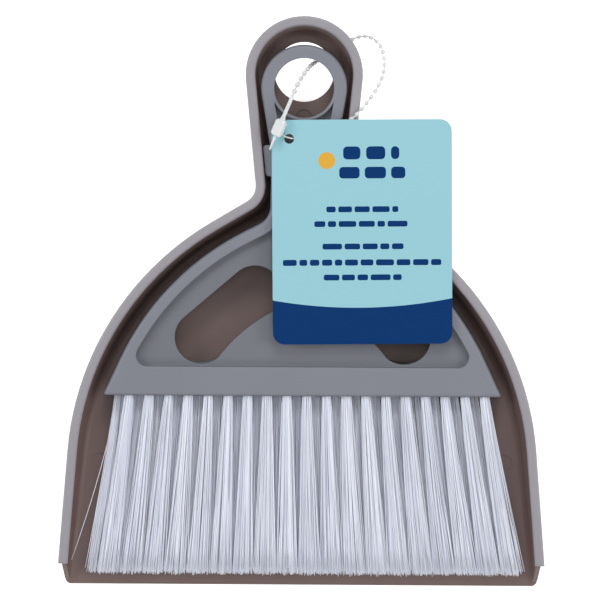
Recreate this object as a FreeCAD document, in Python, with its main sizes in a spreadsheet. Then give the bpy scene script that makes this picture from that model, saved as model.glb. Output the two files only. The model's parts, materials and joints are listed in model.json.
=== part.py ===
"""Dustpan with a whisk brush nested in it, a hang tag and the beaded loop that ties all three.

The set lies flat: +Z up, +Y towards the handles, +X to the right. The origin is on the ground, under the
middle of the pan. The rim of the pan lies in a plane that climbs towards the handle, and the brush lies
parallel to it. All lengths are millimetres and all angles degrees.
"""

import FreeCAD, Part
import math
import os
from FreeCAD import Placement, Rotation, Vector

doc = FreeCAD.newDocument("DustpanAndBrush")

# ---------------------------------------------------------------- driving dimensions

DIMENSIONS = [
    # name, value, what it is
    ("plane_tilt", 5.0, "slope of the rim plane and of the brush, rising to the handle"),
    ("rim_plane_height", 22.4, "height of the rim plane at the start of its own lengths"),
    ("rim_plane_place", 1.35, "where the lengths along the rim plane start, behind the origin"),
    ("pan_handle_end", 128.1, "far end of the pan handle, along the rim plane"),
    ("pan_handle_radius", 26.6, "rounded end of the pan handle"),
    ("pan_neck_half", 21.3, "half width where the handle meets the shoulders"),
    ("pan_neck_place", 47.1, "place of that corner along the rim plane"),
    ("pan_neck_radius", 8.0, "concave radius at the neck"),
    ("pan_shoulder_half", 100.9, "half width of the corner that the shoulder rounds off"),
    ("pan_shoulder_radius", 134.0, "big convex radius of the shoulder"),
    ("pan_side_slope", 0.083, "how far the sides lean out per mm towards the lip"),
    ("lip_place", 128.95, "distance of the lip in front of the origin"),
    ("lip_thickness", 0.9, "edge of the lip"),
    ("lip_end_height", 1.5, "height of the pan's front ends over the lip"),
    ("lip_corner_radius", 2.6, "rounding of the lip's two corners"),
    ("lip_ramp_length", 15.5, "length of the ramp behind the lip"),
    ("ramp_radius", 3.0, "change from the ramp to the floor"),
    ("floor_top", 3.0, "height of the pan floor"),
    ("foot_relief", 1.2, "depth of the relief under the floor"),
    ("foot_width", 13.0, "how far the relief stays inside the rim outline"),
    ("foot_strip", 14.0, "flat strip that the pan rests on behind its ramp"),
    ("heel_strip", 8.0, "flat strip that the pan rests on before the climb"),
    ("wall_thickness", 2.0, "wall of the pan"),
    ("wall_draft", 14.0, "draft of the pan walls"),
    ("tray_depth", 34.0, "depth of the drafted block that the tray is cut from"),
    ("rim_overhang", 1.7, "how far the rim stands out past the wall"),
    ("rim_width", 4.3, "width of the rim band"),
    ("rim_depth", 3.6, "depth of the rim band"),
    ("rim_cover", 1.2, "rim material above the top of the wall"),
    ("rim_edge_radius", 1.4, "rounding of the rim's top edges"),
    ("rim_front_end", 119.2, "where the rim band stops, in front of the origin"),
    ("floor_fillet", 3.0, "inside radius between the floor and the walls"),
    ("foot_fillet", 1.5, "outside radius under the walls"),
    ("trough_depth", 14.0, "trough floor below the rim plane"),
    ("trough_start", 39.8, "where the pan floor starts to climb to the trough"),
    ("climb_run", 1.05, "length of that climb for each mm of its height"),
    ("climb_foot_radius", 9.0, "rounding at the foot of the climb"),
    ("climb_top_radius", 5.0, "rounding at the top of the climb"),
    ("pan_hole_radius", 13.5, "hanging hole of the pan handle"),
    ("pan_hole_place", 102.5, "centre of that hole along the rim plane"),
    ("brush_drop", 1.2, "brush top below the rim plane"),
    ("brush_depth", 14.0, "thickness of the brush head"),
    ("handle_depth", 9.0, "thickness of the brush handle and ring"),
    ("ring_radius", 19.4, "outside of the brush ring"),
    ("ring_place", 95.6, "centre of the ring along the brush"),
    ("ring_hole_radius", 13.5, "hole of the brush ring"),
    ("handle_waist_half", 14.6, "half width of the brush handle at its waist"),
    ("handle_waist_place", 66.0, "place of the waist along the brush"),
    ("handle_waist_radius", 50.0, "concave radius at the waist"),
    ("brush_neck_half", 15.0, "half width where the handle meets the head"),
    ("brush_neck_place", 36.6, "place of that corner along the brush"),
    ("brush_neck_radius", 9.0, "concave radius at the neck"),
    ("head_corner_half", 64.5, "half width of the corner that the head's curve rounds off"),
    ("head_corner_place", 11.5, "place of that corner along the brush"),
    ("head_corner_radius", 124.0, "big convex radius of the head"),
    ("bar_half", 90.4, "half length of the bristle bar"),
    ("bar_corner", 0.8, "corner radius of the bar"),
    ("bar_front", 43.9, "front face of the bristle bar, in front of the plane's start"),
    ("bar_back", 30.6, "back edge of the bar's top"),
    ("border_width", 5.2, "raised border of the brush head and handle"),
    ("hole_wall", 1.2, "wall between the ring's hole and the recess of the handle"),
    ("recess_corner", 5.0, "corner radius of the recess"),
    ("web_recess", 3.6, "web below the border on top"),
    ("web_thickness", 2.4, "web of the brush head"),
    ("under_border", 4.0, "border of the hollow under the web"),
    ("hollow_back_step", 12.0, "how far the hollow stops short of the neck"),
    ("brush_edge_radius", 1.6, "rounding of the brush's top edges"),
    ("slot_radius", 12.0, "end radius of the finger slots"),
    ("slot_inner_half", 21.7, "inner end of a finger slot, out from the middle"),
    ("slot_inner_place", 3.2, "inner end of a finger slot, along the brush"),
    ("slot_outer_half", 46.0, "outer end of a finger slot, out from the middle"),
    ("slot_outer_place", -17.6, "outer end of a finger slot, along the brush"),
    ("slot_waist", 1.8, "how far the slot's front edge bows in"),
    ("lug_depth", 6.0, "centring lugs on the sides of the handle"),
    ("row_count", 19, "tufts in each of the two rows"),
    ("tuft_pitch", 8.86, "distance between the tufts of one row"),
    ("tuft_radius", 2.05, "tuft and its drilled hole"),
    ("tuft_hole_depth", 10.0, "depth of the drilled holes"),
    ("tuft_reach", 81.0, "free length of the tufts along the brush"),
    ("tuft_tip_half", 5.0, "half width of a tuft at its tips"),
    ("tuft_tip_rise", 1.55, "half thickness of a tuft at its tips"),
    ("fan_rate", 0.108, "degrees that a tuft leans out per mm from the fan's middle"),
    ("fan_middle", -12.1, "where a tuft would stand straight"),
    ("anchor_width", 4.9, "metal anchor, across its hole"),
    ("anchor_reach", 1.8, "metal anchor, along its hole"),
    ("anchor_thickness", 0.5, "metal anchor"),
    ("anchor_clearance", 0.6, "from the metal anchor to the bottom of its hole"),
    ("tag_width", 81.0, "hang tag"),
    ("tag_length", 101.5, "hang tag"),
    ("tag_thickness", 0.4, "hang tag"),
    ("tag_corner", 5.4, "corner radius of the tag"),
    ("tag_hole_radius", 2.2, "punched hole of the tag"),
    ("tag_tilt", 6.0, "slope of the tag, from its lower edge up to its hole"),
    ("tag_turn", 0.7, "how far the tag lies turned about its hole"),
    ("lock_length", 7.6, "head of the loop's lock"),
    ("lock_width", 5.4, "head of the loop's lock"),
    ("lock_height", 3.2, "head of the loop's lock"),
    ("loop_diameter", 1.2, "strand of the beaded loop"),
]

sheet = doc.addObject("Spreadsheet::Sheet", "Dimensions")
for row, (alias, value, note) in enumerate(DIMENSIONS, start=1):
    sheet.set(f"A{row}", alias)
    sheet.set(f"B{row}", str(value))
    sheet.setAlias(f"B{row}", alias)
    sheet.set(f"C{row}", note)
doc.recompute()


def dim(alias):
    return float(getattr(sheet, alias))


# ---------------------------------------------------------------- frames

TILT = Rotation(Vector(1, 0, 0), dim("plane_tilt"))
RIM_FRAME = Placement(Vector(0, dim("rim_plane_place"), dim("rim_plane_height")), TILT)
BRUSH_FRAME = Placement(RIM_FRAME.Base - Vector(0, 0, dim("brush_drop")), TILT)
SIDE_VIEW = Rotation(Vector(1, 1, 1), 120)  # sketch x runs along +Y, sketch y runs up


def rim_height(y):
    """Height of the rim plane at a place along Y."""
    rise = (y - dim("rim_plane_place")) * math.tan(math.radians(dim("plane_tilt")))
    return dim("rim_plane_height") + rise


# ---------------------------------------------------------------- outlines and features

TINY = 1e-6  # lengths that count as nothing
LOOKS_DOWN = -0.5  # a face whose normal's height is under this looks down
LOOKS_SIDEWAYS = 0.45  # a face whose normal's height is under this, either way, is a wall


def rounded_outline(corners):
    """Closed run of lines and arcs through (x, y, radius) corners, each rounded by its own radius."""
    runs = []
    count = len(corners)
    for i, (x, y, radius) in enumerate(corners):
        point = Vector(x, y, 0)
        back = (Vector(*corners[i - 1][:2], 0) - point).normalize()
        ahead = (Vector(*corners[(i + 1) % count][:2], 0) - point).normalize()
        half = back.getAngle(ahead) / 2
        reach = radius / math.tan(half)
        inward = (back + ahead).normalize()
        middle = point + inward * (radius / math.sin(half) - radius)
        runs.append((point + back * reach, middle, point + ahead * reach))
    geometry = []
    for i, (start, middle, end) in enumerate(runs):
        if corners[i][2] > 0:
            geometry.append(Part.Arc(start, middle, end))
        following = runs[(i + 1) % count][0]
        if (following - end).Length > TINY:
            geometry.append(Part.LineSegment(end, following))
    return geometry


def sketch(name, geometry, placement=None):
    outline = doc.addObject("Sketcher::SketchObject", name)
    outline.addGeometry(geometry, False)
    outline.Placement = placement or Placement()
    return outline


def extrude(name, base, length, taper=None, symmetric=False):
    """Solid from a closed outline, downwards from its plane unless symmetric. A taper narrows it downwards."""
    solid = doc.addObject("Part::Extrusion", name)
    solid.Base = base
    solid.DirMode = "Normal"
    solid.Solid = True
    solid.Symmetric = symmetric
    solid.Reversed = not symmetric
    solid.setExpression("LengthFwd", str(length))
    if taper:
        solid.setExpression("TaperAngle", taper)
    return solid


def offset(name, base, value):
    inset = doc.addObject("Part::Offset2D", name)
    inset.Source = base
    inset.setExpression("Value", value)
    return inset


def boolean(kind, name, first, second):
    result = doc.addObject(f"Part::{kind}", name)
    result.Base = first
    result.Tool = second
    return result


def cut(name, base, tool):
    return boolean("Cut", name, base, tool)


def common(name, first, second):
    return boolean("Common", name, first, second)


def fuse(name, parts):
    result = doc.addObject("Part::MultiFuse", name)
    result.Shapes = parts
    return result


def box(name, sizes, placement):
    solid = doc.addObject("Part::Box", name)
    for side, size in zip(("Length", "Width", "Height"), sizes):
        solid.setExpression(side, str(size))
    solid.Placement = placement
    return solid


def cylinder(name, radius, height, placement):
    solid = doc.addObject("Part::Cylinder", name)
    solid.setExpression("Radius", str(radius))
    solid.setExpression("Height", str(height))
    solid.Placement = placement
    return solid


def fillet(name, base, radius, wanted):
    """Round the edges of base for which wanted(edge) is true."""
    doc.recompute()
    numbers = [i for i, edge in enumerate(base.Shape.Edges, start=1) if wanted(edge)]
    if not numbers:
        raise ValueError(f"{name}: no edge to round")
    rounded = doc.addObject("Part::Fillet", name)
    rounded.Base = base
    rounded.Edges = [(number, radius, radius) for number in numbers]
    return rounded


def floor_edges(shape, front):
    """Numbers of the edges between a face that looks down and a wall, from a place along Y backwards."""
    looks = []
    for face in shape.Faces:
        u0, u1, v0, v1 = face.ParameterRange
        looks.append((face, face.normalAt((u0 + u1) / 2, (v0 + v1) / 2).z))
    for number, edge in enumerate(shape.Edges, start=1):
        if max(vertex.Y for vertex in edge.Vertexes) < front:
            continue
        slopes = [z for face, z in looks if any(edge.isSame(other) for other in face.Edges)]
        if len(slopes) == 2 and min(slopes) < LOOKS_DOWN and abs(max(slopes)) < LOOKS_SIDEWAYS:
            yield number


def ease_floor(name, base, radius, front):
    """Round a block's bottom edges along its walls."""
    doc.recompute()
    eased = doc.addObject("Part::Fillet", name)
    eased.Base = base
    eased.Edges = [(number, radius, radius) for number in floor_edges(base.Shape, front)]
    return eased


def local_point(frame, point):
    return frame.inverse().multVec(point)


def tangent_corner(point, centre, radius, level):
    """x where the tangent from point to a circle reaches the level of the circle's top."""
    along, across = centre[1] - point[1], centre[0] - point[0]
    heading = math.atan2(along, across) - math.asin(radius / math.hypot(along, across))
    return point[0] + (level - point[1]) / math.tan(heading)


def mirrored(half):
    """Whole outline from its right half, listed from the front to the back."""
    return half + [(-x, y, radius) for x, y, radius in reversed(half)]


parts = {}


def finish_part(node, feature):
    feature.Label = node
    parts[node] = feature


# ---------------------------------------------------------------- pan

OUT_OF_THE_WAY = 150.0  # places well past the object, for outlines that are trimmed later
WIDE_HALF = dim("pan_shoulder_half") + 30.0  # half the width of blocks that reach past both sides
WIDE = 2 * WIDE_HALF
ABOVE = 1.0  # how far a cutting block stands out of what it cuts
OVER_RIM = 20.0  # how far the cavity's block stands over the rim
PAST_LIP = 12.0  # how far the cavity's block stands out in front of the lip
CLEAR_OF_LIP = 1.0  # edges this close to the front stay sharp
CLIMB_SHIFT = 1.0  # the outside starts to climb this much before the inside
EJECTOR_RADIUS, EJECTOR_DEPTH = 3.5, 0.2
EJECTOR_TROUGH_PLACE = 81.8
EJECTOR_HALF, EJECTOR_FLOOR_PLACE = 92.6, -72.7
CLOSE = 1e-3  # lengths that count as the same
FRONT_TOP_RADIUS = 2.0  # where the top of the wall turns down to the front end
TOE_LENGTH, TOE_HEIGHT, TOE_RADIUS = 2.0, 2.6, 2.2  # where that slope meets the lip's ends


def pan_outline():
    """Outer outline of the rim, in the rim plane, from beyond the lip round the handle and back."""
    radius, end = dim("pan_handle_radius"), dim("pan_handle_end")
    neck = (dim("pan_neck_half"), dim("pan_neck_place"))
    shoulder = (dim("pan_shoulder_half"), 0.0)
    front_half = shoulder[0] + dim("pan_side_slope") * OUT_OF_THE_WAY
    top_x = tangent_corner(neck, (0, end - radius), radius, end)
    return mirrored([
        (front_half, -OUT_OF_THE_WAY, 0),
        (*shoulder, dim("pan_shoulder_radius")),
        (*neck, dim("pan_neck_radius")),
        (top_x, end, radius),
    ])


def tray_profile(bottom_front, floor, climb_start, trough_drop, top_drop, front_top):
    """Side outline (y, z, radius) between a floor line, a climb to the trough and a top line."""
    back = OUT_OF_THE_WAY
    climb = climb_start + (rim_height(climb_start) - trough_drop - floor) * dim("climb_run")
    return front_top + bottom_front + [
        (climb_start, floor, dim("climb_foot_radius")),
        (climb, rim_height(climb) - trough_drop, dim("climb_top_radius")),
        (back, rim_height(back) - trough_drop, 0),
        (back, rim_height(back) - top_drop, 0),
    ]


pan_plan = sketch("PanOutline", rounded_outline(pan_outline()), RIM_FRAME)
wall_plan = offset("WallOutline", pan_plan, "-Dimensions.rim_overhang")
inner_plan = offset("InnerOutline", pan_plan, "-Dimensions.rim_overhang - Dimensions.wall_thickness")


def tray_block():
    """The outside of the tray, solid: drafted walls, flat foot, climbing handle, sloping front ends."""
    lip, cover = dim("lip_place"), dim("rim_cover")
    rim_end = -dim("rim_front_end")
    profile = tray_profile(
        bottom_front=[(-lip, 0, 0)],
        floor=0.0,
        climb_start=dim("trough_start") - CLIMB_SHIFT,
        trough_drop=dim("trough_depth") + dim("wall_thickness"),
        top_drop=cover,
        front_top=[
            (rim_end, rim_height(rim_end) - cover, FRONT_TOP_RADIUS),
            (TOE_LENGTH - lip, TOE_HEIGHT, TOE_RADIUS),
            (-lip, dim("lip_end_height"), 0),
        ],
    )
    side = sketch("TraySide", rounded_outline(profile), Placement(Vector(), SIDE_VIEW))
    slab = extrude("TraySideBlock", side, WIDE, symmetric=True)
    walls = extrude("TrayWalls", wall_plan, "Dimensions.tray_depth", "-Dimensions.wall_draft")
    whole = common("TrayBlock", walls, slab)
    eased = ease_floor("TrayBlockEased", whole, dim("foot_fillet"), CLEAR_OF_LIP - lip)
    doc.recompute()
    half = max(vertex.X for vertex in eased.Shape.Vertexes if abs(vertex.Y + lip) < CLOSE)
    corners = doc.addObject("Part::Compound", "LipCorners")
    corners.Links = [lip_corner("LeftLipCorner", -1, half), lip_corner("RightLipCorner", 1, half)]
    return cut("TrayBlockRounded", eased, corners)


def lip_corner(name, side, half):
    """What rounding takes away from a corner of the lip: a square post without its quarter round."""
    radius, lip = dim("lip_corner_radius"), dim("lip_place")
    left = half - radius if side > 0 else -half - ABOVE
    post = box(name + "Post", (radius + ABOVE, radius + ABOVE, OVER_RIM),
               Placement(Vector(left, -lip - ABOVE, -ABOVE), Rotation()))
    round_post = cylinder(name + "Round", "Dimensions.lip_corner_radius", OVER_RIM + 2 * ABOVE,
                          Placement(Vector(side * (half - radius), radius - lip, -2 * ABOVE), Rotation()))
    return cut(name, post, round_post)


def tray_cavity():
    """What the pan holds: ramp behind the lip, flat floor, and the trough of the handle."""
    lip, ramp, floor = dim("lip_place"), dim("lip_ramp_length"), dim("floor_top")
    fall = (floor - dim("lip_thickness")) / ramp
    front = lip + PAST_LIP
    low = dim("lip_thickness") - PAST_LIP * fall
    profile = tray_profile(
        bottom_front=[(-front, low, 0), (ramp - lip, floor, dim("ramp_radius"))],
        floor=floor,
        climb_start=dim("trough_start"),
        trough_drop=dim("trough_depth"),
        top_drop=-OVER_RIM,
        front_top=[(-front, rim_height(0) + OVER_RIM, 0)],
    )
    side = sketch("CavitySide", rounded_outline(profile), Placement(Vector(), SIDE_VIEW))
    slab = extrude("CavitySideBlock", side, WIDE, symmetric=True)
    room = extrude("CavityWalls", inner_plan, "Dimensions.tray_depth", "-Dimensions.wall_draft")
    whole = common("TrayCavity", room, slab)
    return ease_floor("TrayCavityEased", whole, dim("floor_fillet"), CLEAR_OF_LIP - front)


def make_pan_tray(block):
    shell = cut("TrayShell", block, tray_cavity())
    relief_plan = offset("ReliefOutline", pan_plan, "-Dimensions.foot_width")
    relief_room = extrude("ReliefRoom", relief_plan, "Dimensions.tray_depth", "-Dimensions.wall_draft")
    front = dim("lip_ramp_length") + dim("foot_strip") - dim("lip_place")
    back = dim("trough_start") - dim("heel_strip")
    relief_box = box(
        "ReliefBox", (WIDE, back - front, "Dimensions.foot_relief"),
        Placement(Vector(-WIDE_HALF, front, 0), Rotation()),
    )
    relief = common("FootRelief", relief_room, relief_box)
    footed = cut("FootedTray", shell, relief)
    hole = cylinder(
        "PanHole", "Dimensions.pan_hole_radius", "Dimensions.tray_depth",
        RIM_FRAME * Placement(Vector(0, dim("pan_hole_place"), -dim("tray_depth")), Rotation()),
    )
    tools = doc.addObject("Part::Compound", "TrayTools")
    tools.Links = [hole] + ejector_marks()
    return cut("PanTray", footed, tools)


def ejector_marks():
    """Shallow round marks of the mould's ejector pins: one in the trough, two on the floor."""
    low = -dim("trough_depth") - EJECTOR_DEPTH
    spots = [RIM_FRAME * Placement(Vector(0, EJECTOR_TROUGH_PLACE, low), Rotation())]
    for side in (-1, 1):
        point = Vector(side * EJECTOR_HALF, EJECTOR_FLOOR_PLACE, dim("floor_top") - EJECTOR_DEPTH)
        spots.append(Placement(point, Rotation()))
    return [cylinder(f"EjectorMark{i}", EJECTOR_RADIUS, 2 * EJECTOR_DEPTH, spot)
            for i, spot in enumerate(spots)]


def make_pan_rim(tray_outside):
    """Soft band over the top of the wall, from one front end round the handle to the other."""
    outer = extrude("RimOuter", pan_plan, "Dimensions.rim_depth", "-Dimensions.wall_draft / 2")
    hollow_plan = offset("RimInnerOutline", pan_plan, "-Dimensions.rim_width")
    hollow = extrude("RimHollow", hollow_plan, "Dimensions.rim_depth", "-Dimensions.wall_draft")
    ring = cut("RimRing", outer, hollow)
    keep = box(
        "RimKeep", (WIDE, 2 * OUT_OF_THE_WAY, OUT_OF_THE_WAY),
        Placement(Vector(-WIDE_HALF, -dim("rim_front_end"), 0), Rotation()),
    )
    band = common("RimBand", ring, keep)
    eased = fillet("RimEased", band, dim("rim_edge_radius"), is_rim_top)
    return cut("PanRim", eased, tray_outside)


def is_rim_top(edge):
    """An edge that lies in the rim plane."""
    return all(abs(local_point(RIM_FRAME, vertex.Point).z) < CLOSE for vertex in edge.Vertexes)


block = tray_block()
finish_part("pan_tray", make_pan_tray(block))
finish_part("pan_rim", make_pan_rim(block))


# ---------------------------------------------------------------- brush


def brush_outline():
    """Outline of the brush's plastic body, from the bar round the ring and back."""
    radius, place = dim("ring_radius"), dim("ring_place")
    waist = (dim("handle_waist_half"), dim("handle_waist_place"))
    top_x = tangent_corner(waist, (0, place), radius, place + radius)
    return mirrored([
        (dim("bar_half"), -dim("bar_front"), dim("bar_corner")),
        (dim("head_corner_half"), dim("head_corner_place"), dim("head_corner_radius")),
        (dim("brush_neck_half"), dim("brush_neck_place"), dim("brush_neck_radius")),
        (*waist, dim("handle_waist_radius")),
        (top_x, place + radius, radius),
    ])


def in_brush(x, y, z, turn=Rotation()):
    """Placement given in the brush's own lengths."""
    return BRUSH_FRAME * Placement(Vector(x, y, z), turn)


STEP_START, STEP_END, STEP_RADIUS = 9.0, 1.0, 6.0  # underside slope from the head up to the handle
BAR_WALL = 2.0  # the hollow under the head starts this much behind the bar's top edge


def brush_blank(outline):
    """Solid outline, thick at the head and thinner along the handle."""
    full = extrude("BrushFull", outline, "Dimensions.brush_depth")
    head, handle = dim("brush_depth"), dim("handle_depth")
    neck = dim("brush_neck_place")
    side = sketch("BrushSide", rounded_outline([
        (-OUT_OF_THE_WAY, -head, 0),
        (neck - STEP_START, -head, STEP_RADIUS),
        (neck - STEP_END, -handle, STEP_RADIUS),
        (OUT_OF_THE_WAY, -handle, 0),
        (OUT_OF_THE_WAY, handle, 0),
        (-OUT_OF_THE_WAY, handle, 0),
    ]), BRUSH_FRAME * Placement(Vector(), SIDE_VIEW))
    slab = extrude("BrushSideBlock", side, WIDE, symmetric=True)
    return common("BrushBlank", full, slab)


def brush_room(name, outline, border, places, depths):
    """A pocket that follows the outline at a distance, from one place to another and between two depths."""
    front, back = places
    top, bottom = depths
    inset = offset(name + "Outline", outline, f"-Dimensions.{border}")
    full = extrude(name + "Full", inset, "Dimensions.brush_depth")
    limits = box(name + "Limits", (WIDE, back - front, top - bottom), in_brush(-WIDE_HALF, front, bottom))
    room = common(name + "Square", full, limits)
    return fillet(name, room, dim("recess_corner"), lambda edge: is_corner(edge, places))


def is_corner(edge, places):
    """A straight edge square to the brush's plane, where walls meet at one of the places along the brush."""
    ends = [local_point(BRUSH_FRAME, vertex.Point) for vertex in edge.Vertexes]
    upright = len(ends) == 2 and math.hypot(ends[0].x - ends[1].x, ends[0].y - ends[1].y) < CLOSE
    return upright and any(abs(ends[0].y - place) < CLOSE for place in places)


def handle_recess(outline):
    """The recess on top, from the bristle bar through the neck to the thin wall round the ring's hole."""
    depths = (ABOVE, -dim("web_recess"))
    room = brush_room("HeadRecess", outline, "border_width", (-dim("bar_back"), dim("ring_place")), depths)
    kept = cylinder("HoleWall", "Dimensions.ring_hole_radius + Dimensions.hole_wall",
                    "Dimensions.brush_depth", in_brush(0, dim("ring_place"), -dim("web_recess")))
    return cut("Recess", room, kept)


def slot_sketch(name, side):
    """Finger slot: two round ends, a straight back edge and a front edge that bows in."""
    inner = Vector(side * dim("slot_inner_half"), dim("slot_inner_place"), 0)
    outer = Vector(side * dim("slot_outer_half"), dim("slot_outer_place"), 0)
    radius, waist = dim("slot_radius"), dim("slot_waist")
    along = (inner - outer).normalize()
    back = Vector(-along.y, along.x, 0)
    if back.y < 0:
        back = -back
    middle = (inner + outer) / 2
    geometry = [
        Part.LineSegment(outer + back * radius, inner + back * radius),
        Part.Arc(inner + back * radius, inner + along * radius, inner - back * radius),
        Part.Arc(inner - back * radius, middle - back * (radius - waist), outer - back * radius),
        Part.Arc(outer - back * radius, outer - along * radius, outer + back * radius),
    ]
    return sketch(name, geometry, BRUSH_FRAME)


LUG_FRONT, LUG_BACK = 55.8, 69.9  # places of the lug's ends along the brush
LUG_ROOT = 12.0  # inside the handle's border
LUG_FRONT_HALF, LUG_BACK_HALF = 17.0, 18.5  # how far it stands out from the middle
LUG_CORNER, LUG_DROP = 1.5, 1.0


def lug(name, side):
    """Tab on the side of the handle that centres it in the trough, drafted like the trough's wall."""
    corners = [(LUG_ROOT, LUG_FRONT, 0), (LUG_FRONT_HALF, LUG_FRONT, LUG_CORNER),
               (LUG_BACK_HALF, LUG_BACK, LUG_CORNER), (LUG_ROOT, LUG_BACK, 0)]
    outline = sketch(name + "Outline", rounded_outline([(x * side, y, r) for x, y, r in corners]),
                     in_brush(0, 0, -LUG_DROP))
    return extrude(name, outline, "Dimensions.lug_depth", "-Dimensions.wall_draft")


ROWS = {
    # row: (middle of the row in x, depth of its holes, depth of its tips)
    "front": (1.85, -3.8, -2.0),
    "back": (-2.9, -10.2, -5.5),
}
ALONG = Rotation(Vector(1, 0, 0), -90)  # turns an upright axis to run towards the handle


def tuft_places(row):
    """Where each tuft of a row leaves the bar and where its tips are, in the brush's lengths."""
    middle, depth, tip_depth = ROWS[row]
    front, reach = -dim("bar_front"), dim("tuft_reach")
    count = int(dim("row_count"))
    for number in range(count):
        x = middle + (number - (count - 1) / 2) * dim("tuft_pitch")
        lean = math.radians(dim("fan_rate") * (x - dim("fan_middle")))
        tip = Vector(x + reach * math.tan(lean), front - reach, tip_depth)
        yield number + 1, Vector(x, front, depth), tip


def tuft_bore(name, root):
    """The drilled hole of a tuft, and just as well the part of the tuft that fills it."""
    return cylinder(name, "Dimensions.tuft_radius", "Dimensions.tuft_hole_depth", in_brush(*root, ALONG))


def anchor(name, root):
    """Flat metal staple that the tuft is folded over, driven across the bottom of the hole."""
    width, thickness = dim("anchor_width"), dim("anchor_thickness")
    depth = dim("tuft_hole_depth") - dim("anchor_reach") - dim("anchor_clearance")
    sizes = ("Dimensions.anchor_width", "Dimensions.anchor_reach", "Dimensions.anchor_thickness")
    return box(name, sizes, in_brush(root.x - width / 2, root.y + depth, root.z - thickness / 2))


def make_tuft(row, number, root, tip, staple):
    name = f"{row.title()}Tuft{number:02}"
    base = doc.addObject("Part::Circle", name + "Base")
    base.setExpression("Radius", "Dimensions.tuft_radius")
    base.Placement = in_brush(*root, ALONG)
    end = doc.addObject("Part::Ellipse", name + "End")
    end.setExpression("MajorRadius", "Dimensions.tuft_tip_half")
    end.setExpression("MinorRadius", "Dimensions.tuft_tip_rise")
    end.Placement = in_brush(*tip, ALONG)
    free = doc.addObject("Part::Loft", name + "Free")
    free.Sections = [base, end]
    free.Solid = True
    free.Ruled = True
    whole = fuse(name + "Whole", [free, tuft_bore(name + "Root", root)])
    return cut(name, whole, staple)


def make_brush_body():
    outline = sketch("BrushOutline", rounded_outline(brush_outline()), BRUSH_FRAME)
    blank = fillet("BrushEased", brush_blank(outline), dim("brush_edge_radius"), is_brush_top)
    below_head = -dim("brush_depth") - ABOVE
    hollow_places = (BAR_WALL - dim("bar_back"), dim("brush_neck_place") - dim("hollow_back_step"))
    hollow_depths = (-dim("web_recess") - dim("web_thickness"), below_head)
    hollow = brush_room("Hollow", outline, "under_border", hollow_places, hollow_depths)
    hole = cylinder("RingHole", "Dimensions.ring_hole_radius", f"Dimensions.brush_depth + {2 * ABOVE}",
                    in_brush(0, dim("ring_place"), below_head))
    slots = [extrude(name, slot_sketch(name + "Outline", side), "Dimensions.brush_depth")
             for name, side in (("LeftSlot", -1), ("RightSlot", 1))]
    bores = [tuft_bore(f"Bore{row}{number}", root) for row in ROWS for number, root, _ in tuft_places(row)]
    body = fuse("BrushWithLugs", [blank, lug("LeftLug", -1), lug("RightLug", 1)])
    rooms = doc.addObject("Part::Compound", "BrushRooms")
    rooms.Links = [hole] + slots + bores
    recessed = cut("BrushRecessed", body, handle_recess(outline))
    return cut("BrushBody", cut("BrushHollowed", recessed, hollow), rooms)


def is_brush_top(edge):
    """An edge that lies in the plane of the brush's top."""
    return all(abs(local_point(BRUSH_FRAME, vertex.Point).z) < CLOSE for vertex in edge.Vertexes)


finish_part("brush_body", make_brush_body())
for row in ROWS:
    staples = []
    for number, root, tip in tuft_places(row):
        staple = anchor(f"{row.title()}Anchor{number:02}", root)
        staples.append(staple)
        finish_part(f"tuft_{row}_{number:02}", make_tuft(row, number, root, tip, staple))
    group = doc.addObject("Part::Compound", f"{row.title()}Anchors")
    group.Links = staples
    finish_part(f"tuft_anchors_{row}", group)

# ---------------------------------------------------------------- hang tag, loop and lock

TAG_HOLE = Vector(-6.6, 73.7, 31.3)  # middle of the punched hole
TAG_LEFT, TAG_TOP = 7.9, 8.5  # from the hole to the tag's left and top edges
TAG_SLOPE = Rotation(Vector(1, 0, 0), dim("tag_tilt"))
TAG_TURN = Rotation(Vector(0, 0, 1), dim("tag_turn"))
TAG_FRAME = Placement(TAG_HOLE, TAG_SLOPE * TAG_TURN)
LOCK_FRAME = Placement(Vector(-11.2, 78.4, 34.4), Rotation(Vector(0, 0, 1), 67.5))
LOCK_COLLAR, LOCK_SHAFT, LOCK_TAIL = 1.7, 10.0, 6.8  # lengths past the head
LOCK_FACET, LOCK_MERGE = 0.9, 0.2  # chamfer of the head, and how deep its pieces run into each other
COLLAR_RADII, TAIL_RADII = (1.4, 1.0), (0.35, 0.85)
SHAFT_WIDTH, SHAFT_HEIGHT = 1.6, 1.2

# The loop leaves the lock's flat shaft, dives through the ring and the pan's hole, comes up outside the
# handle, crosses the rim and runs under the tag to the punched hole and back into the lock.
LOOP_ROUTE = [
    (-5.24, 92.72, 34.4), (-3.8, 96.2, 34.1), (-2.2, 99.6, 33.2), (0.0, 103.1, 31.4), (2.0, 105.9, 28.2),
    (3.3, 107.5, 24.2), (4.6, 108.7, 20.2), (6.6, 110.2, 16.6), (9.8, 112.1, 14.0), (14.2, 114.5, 13.0),
    (18.7, 117.9, 13.6), (23.0, 120.6, 15.6), (27.8, 121.3, 18.4), (32.0, 119.4, 21.2), (34.9, 115.6, 23.8),
    (36.2, 110.1, 26.2), (36.1, 105.1, 28.2), (34.6, 100.1, 29.8), (32.0, 95.3, 30.8), (28.8, 90.8, 31.3),
    (25.3, 86.4, 31.2), (21.0, 82.4, 30.8), (14.8, 79.2, 30.1), (7.8, 76.7, 29.6), (0.8, 74.7, 29.6),
    (-5.3, 73.3, 30.4), (-9.4, 75.0, 33.4),
]
ARC_SHARE = 0.45  # share of the shorter run that each arc takes


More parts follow.
